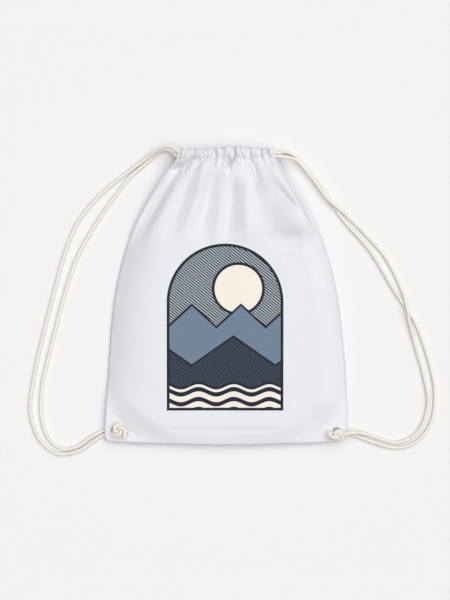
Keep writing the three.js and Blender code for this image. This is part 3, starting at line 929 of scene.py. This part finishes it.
# %% [markdown]
# ## Cotton yarn
# Cotton is never one flat white: yarns are thicker and thinner, and a little lighter or darker.
# Two stretched noises make such streaks along the threads of cloth and along the yarns of the
# cords, so both use this group with their own stretch.

# %% Streak group
STREAK_DETAIL = 3.0


def streaks(tree, place, along, over):
    """Noise that is long in one direction of the map and short in the other."""
    stretch = tree.nodes.new("ShaderNodeCombineXYZ")
    tree.links.new(along, stretch.inputs["X"])
    tree.links.new(over, stretch.inputs["Y"])
    scaled = tree.nodes.new("ShaderNodeVectorMath")
    scaled.operation = "MULTIPLY"
    tree.links.new(place, scaled.inputs[0])
    tree.links.new(stretch.outputs["Vector"], scaled.inputs[1])
    noise = tree.nodes.new("ShaderNodeTexNoise")
    noise.inputs["Scale"].default_value = 1.0
    noise.inputs["Detail"].default_value = STREAK_DETAIL
    tree.links.new(scaled.outputs["Vector"], noise.inputs["Vector"])
    return noise.outputs["Fac"]


streak_tree, streak_in, streak_out = finish_group(
    "cotton streaks",
    {"Place": "NodeSocketVector", "Long": "NodeSocketFloat", "Short": "NodeSocketFloat"},
    {"Streak": "NodeSocketFloat"},
)
lengthwise = streaks(streak_tree, streak_in["Place"], streak_in["Short"], streak_in["Long"])
crosswise = streaks(streak_tree, streak_in["Place"], streak_in["Long"], streak_in["Short"])
both_ways = calc(streak_tree, "ADD", lengthwise, crosswise)
average = calc(streak_tree, "MULTIPLY", both_ways, 0.5)
streak_tree.links.new(average, streak_out["Streak"])
print("cotton streaks has", len(streak_tree.nodes), "nodes")

# %% [markdown]
# ## Plain weave
# Warp and weft take turns on top, which a product of two sines shows as a chequer of small
# bumps. Halved and raised by a half, it goes from 0 to 1. It reads the map of the flat cut, so
# the threads gather with the cloth.

# %% Weave group
weave_tree, weave_in, weave_out = finish_group(
    "plain weave",
    {"Place": "NodeSocketVector", "Threads": "NodeSocketFloat"},
    {"Height": "NodeSocketFloat"},
)
weave_parts = weave_tree.nodes.new("ShaderNodeSeparateXYZ")
weave_tree.links.new(weave_in["Place"], weave_parts.inputs["Vector"])
turn = calc(weave_tree, "MULTIPLY", weave_in["Threads"], math.pi)
warp = calc(weave_tree, "SINE", calc(weave_tree, "MULTIPLY", weave_parts.outputs["X"], turn))
weft = calc(weave_tree, "SINE", calc(weave_tree, "MULTIPLY", weave_parts.outputs["Y"], turn))
chequer = calc(weave_tree, "MULTIPLY", warp, weft)
thread_height = calc(weave_tree, "MULTIPLY_ADD", chequer, 0.5, 0.5)
weave_tree.links.new(thread_height, weave_out["Height"])
print("plain weave has", len(weave_tree.nodes), "nodes")

# %% [markdown]
# ## Print
# The front carries a screen print in navy, slate blue, grey hatching and cream, about 180 mm
# wide and 250 mm high. It is a plain landscape in an arched frame: sun, two hill ranges and
# waves. Each shape is a distance worked out by Math nodes from the plan map, so its edges stay
# sharp at any size, and inks are laid over one another as in a real print.

# %% Print group
PRINT_X = -1.0
PRINT_Y = -46.0
PRINT_HALF = 88.0
PRINT_BOTTOM = -126.0
ARCH_Y = 38.0
LINE_WIDTH = 4.2
SUN_RADIUS = 40.0
SUN_X = 20.0
SUN_Y = 58.0
FAR_HILLS = {"base": 2.0, "height": 34.0, "width": 37.0, "start": 0.35}
NEAR_HILLS = {"base": -56.0, "height": 44.0, "width": 63.0, "start": 0.8}
WATER_Y = -86.0
WATER_SWING = 4.0
WATER_LENGTH = 8.5
WATER_SPACING = 15.0
WATER_GAP = 0.55
HATCH_SPACING = 4.4
HATCH_GAP = 0.5
SKY_SLANT = 0.8
HILL_SLANT = -0.7
NAVY = (0.006, 0.011, 0.024)
SLATE = (0.140, 0.198, 0.275)
DEEP_SLATE = (0.045, 0.065, 0.095)
HATCH_GREY = (0.414, 0.450, 0.495)
CREAM = (0.810, 0.756, 0.666)

print_tree, print_in, print_out = finish_group(
    "landscape print",
    {"Place": "NodeSocketVector"},
    {"Colour": "NodeSocketColor", "Ink": "NodeSocketFloat"},
)
print_parts = print_tree.nodes.new("ShaderNodeSeparateXYZ")
print_tree.links.new(print_in["Place"], print_parts.inputs["Vector"])


def inked(operation, *values):
    """A Math node of the print."""
    return calc(print_tree, operation, *values)


print_x = inked("MULTIPLY_ADD", print_parts.outputs["X"], 1 / MM, -PRINT_X)
print_y = inked("MULTIPLY_ADD", print_parts.outputs["Y"], 1 / MM, -PRINT_Y)


def round_distance(centre_x, centre_y):
    """Distance from a centre: the root of the two squares."""
    x = inked("SUBTRACT", print_x, centre_x)
    y = inked("SUBTRACT", print_y, centre_y)
    return inked("SQRT", inked("ADD", inked("MULTIPLY", x, x), inked("MULTIPLY", y, y)))


def stripes(distance, spacing, gap):
    """Mask of stripes along a distance: 0 on the gap's share of each spacing, then 1."""
    return inked("GREATER_THAN", inked("FRACT", inked("DIVIDE", distance, spacing)), gap)


def hatch(slant):
    """Mask of slanted lines: stripes of y plus the slant times x."""
    return stripes(inked("MULTIPLY_ADD", print_x, slant, print_y), HATCH_SPACING, HATCH_GAP)


def hill_depth(base, height, width, start):
    """How far a point lies under a ridge of straight slopes that go up and down by turns."""
    swing = inked("PINGPONG", inked("MULTIPLY_ADD", print_x, 1 / width, start), 1.0)
    ridge = inked("MULTIPLY_ADD", swing, height, base)
    return inked("SUBTRACT", ridge, print_y)


def lay(colour, depth, fill):
    """A shape over the print: navy along its edge, its own fill further in."""
    outlined = blend(print_tree, inked("GREATER_THAN", depth, 0.0), colour, NAVY)
    return blend(print_tree, inked("GREATER_THAN", depth, LINE_WIDTH), outlined, fill)


over_arch = inked("MAXIMUM", inked("SUBTRACT", print_y, ARCH_Y), 0.0)
arch_squares = inked("ADD", inked("MULTIPLY", print_x, print_x), inked("MULTIPLY", over_arch, over_arch))
arch_inset = inked("SUBTRACT", PRINT_HALF, inked("SQRT", arch_squares))
frame_inset = inked("MINIMUM", arch_inset, inked("SUBTRACT", print_y, PRINT_BOTTOM))
sun_depth = inked("SUBTRACT", SUN_RADIUS, round_distance(SUN_X, SUN_Y))
water_swing = inked("SINE", inked("DIVIDE", print_x, WATER_LENGTH))
water_line = inked("MULTIPLY_ADD", water_swing, WATER_SWING, WATER_Y)
water_depth = inked("SUBTRACT", water_line, print_y)
water_stripes = stripes(water_depth, WATER_SPACING, WATER_GAP)
sky = blend(print_tree, hatch(SKY_SLANT), HATCH_GREY, NAVY)
near_fill = blend(print_tree, hatch(HILL_SLANT), DEEP_SLATE, NAVY)
water_fill = blend(print_tree, water_stripes, CREAM, NAVY)
drawing = lay(sky, sun_depth, CREAM)
drawing = lay(drawing, hill_depth(**FAR_HILLS), SLATE)
drawing = lay(drawing, hill_depth(**NEAR_HILLS), near_fill)
drawing = lay(drawing, water_depth, water_fill)
framed = blend(print_tree, inked("GREATER_THAN", frame_inset, LINE_WIDTH), NAVY, drawing)
print_tree.links.new(framed, print_out["Colour"])
print_tree.links.new(inked("GREATER_THAN", frame_inset, 0.0), print_out["Ink"])
print("landscape print has", len(print_tree.nodes), "nodes")

# %% [markdown]
# ## Cloth, cord and floor finishes
# The cloth is a cool white with a faint weave. The cords are unbleached cotton, so creamier,
# with fibres along their yarns. Colours that are the same everywhere stay on the shader.

# %% Finishes
SPECULAR = 0.25
CLOTH_SURFACE = {"roughness": 0.95, "sheen": 0.02}
CORD_SURFACE = {"roughness": 0.88, "sheen": 0.12}
FLOOR_SURFACE = {"roughness": 0.95, "sheen": 0.0}
CLOTH_STREAKS = {"Long": 45.0, "Short": 900.0}
CORD_STREAKS = {"Long": 120.0, "Short": 1500.0}
CLOTH_BUMP = {"strength": 0.35, "distance": 0.12}
CORD_BUMP = {"strength": 0.5, "distance": 0.15}
THREADS_PER_METRE = 2200.0
STREAK_RELIEF = 0.6
INK_LEAST = 0.945
INK_SPREAD = 0.08
COOL_WHITE = (0.740, 0.747, 0.774)
SHADED_WHITE = (0.699, 0.708, 0.740)
PALE_CREAM = (0.825, 0.798, 0.735)
DARK_CREAM = (0.738, 0.695, 0.615)
FLOOR_WHITE = (0.774, 0.774, 0.774)


def new_finish(name, roughness, sheen):
    """Material with its Principled shader set for a rough, slightly fuzzy surface."""
    material = bpy.data.materials.new(name)
    material.use_nodes = True
    shader = material.node_tree.nodes["Principled BSDF"]
    shader.inputs["Roughness"].default_value = roughness
    shader.inputs["Sheen Weight"].default_value = sheen
    shader.inputs["Specular IOR Level"].default_value = SPECULAR
    return material, material.node_tree, shader


def raise_surface(tree, shader, height, strength, distance):
    """Bump from a height to the shader's normal; distance is in millimetres."""
    bump = tree.nodes.new("ShaderNodeBump")
    bump.inputs["Strength"].default_value = strength
    bump.inputs["Distance"].default_value = distance * MM
    tree.links.new(height, bump.inputs["Height"])
    tree.links.new(bump.outputs["Normal"], shader.inputs["Normal"])


def cotton_cloth(name, printed):
    """White woven cotton, with or without the print."""
    material, tree, shader = new_finish(name, **CLOTH_SURFACE)
    streak = place_group(tree, streak_tree, "cut", **CLOTH_STREAKS)["Streak"]
    weave = place_group(tree, weave_tree, "cut", Threads=THREADS_PER_METRE)["Height"]
    colour = blend(tree, streak, SHADED_WHITE, COOL_WHITE)
    if printed:
        design = place_group(tree, print_tree, "plan")
        worn = calc(tree, "MULTIPLY_ADD", streak, INK_SPREAD, INK_LEAST)
        ink = calc(tree, "MULTIPLY", design["Ink"], worn)
        colour = blend(tree, ink, colour, design["Colour"])
    tree.links.new(colour, shader.inputs["Base Color"])
    height = calc(tree, "MULTIPLY_ADD", streak, STREAK_RELIEF, weave)
    raise_surface(tree, shader, height, **CLOTH_BUMP)
    return material


def cotton_cord(name):
    """Cream cotton yarn with fibres along it."""
    material, tree, shader = new_finish(name, **CORD_SURFACE)
    streak = place_group(tree, streak_tree, "cord", **CORD_STREAKS)["Streak"]
    tree.links.new(blend(tree, streak, DARK_CREAM, PALE_CREAM), shader.inputs["Base Color"])
    raise_surface(tree, shader, streak, **CORD_BUMP)
    return material


printed_cotton = cotton_cloth("printed cotton", True)
plain_cotton = cotton_cloth("plain cotton", False)
cream_cotton = cotton_cord("cream cotton")
pale_floor, _, floor_shader = new_finish("pale floor", **FLOOR_SURFACE)
floor_shader.inputs["Base Color"].default_value = (*FLOOR_WHITE, 1)
front_cloth.data.materials.append(printed_cotton)
for piece in (back_cloth, seam_edge):
    piece.data.materials.append(plain_cotton)
for piece in (cord_left, cord_right, knot_left, knot_right):
    piece.data.materials.append(cream_cotton)
print("finishes:", [material.name for material in bpy.data.materials])

# %% [markdown]
# ## Floor
# The floor is a wide pale plane, only there to take the shadow.

# %% Floor plane
FLOOR_HALF = 6000
floor_points = [(-FLOOR_HALF, -FLOOR_HALF, 0), (FLOOR_HALF, -FLOOR_HALF, 0),
                (FLOOR_HALF, FLOOR_HALF, 0), (-FLOOR_HALF, FLOOR_HALF, 0)]
floor = make_piece("floor", floor_points, [(0, 1, 2, 3)])
floor.data.materials.append(pale_floor)

# %% [markdown]
# ## Pieces on the body
# Every piece rides on the one body. The cords, knots and sheets take the place of their solids, which are
# hidden.

# %% Pieces on the body
REPLACED = {
    "cord_left": cord_left, "cord_right": cord_right, "knot_left": knot_left,
    "knot_right": knot_right, "front_panel": front_cloth, "back_panel": back_cloth,
}
for node, piece in REPLACED.items():
    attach(piece, "root")
    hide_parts(node)
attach(seam_edge, "root")

print("cords in mm:", round(left_length), "and", round(right_length))
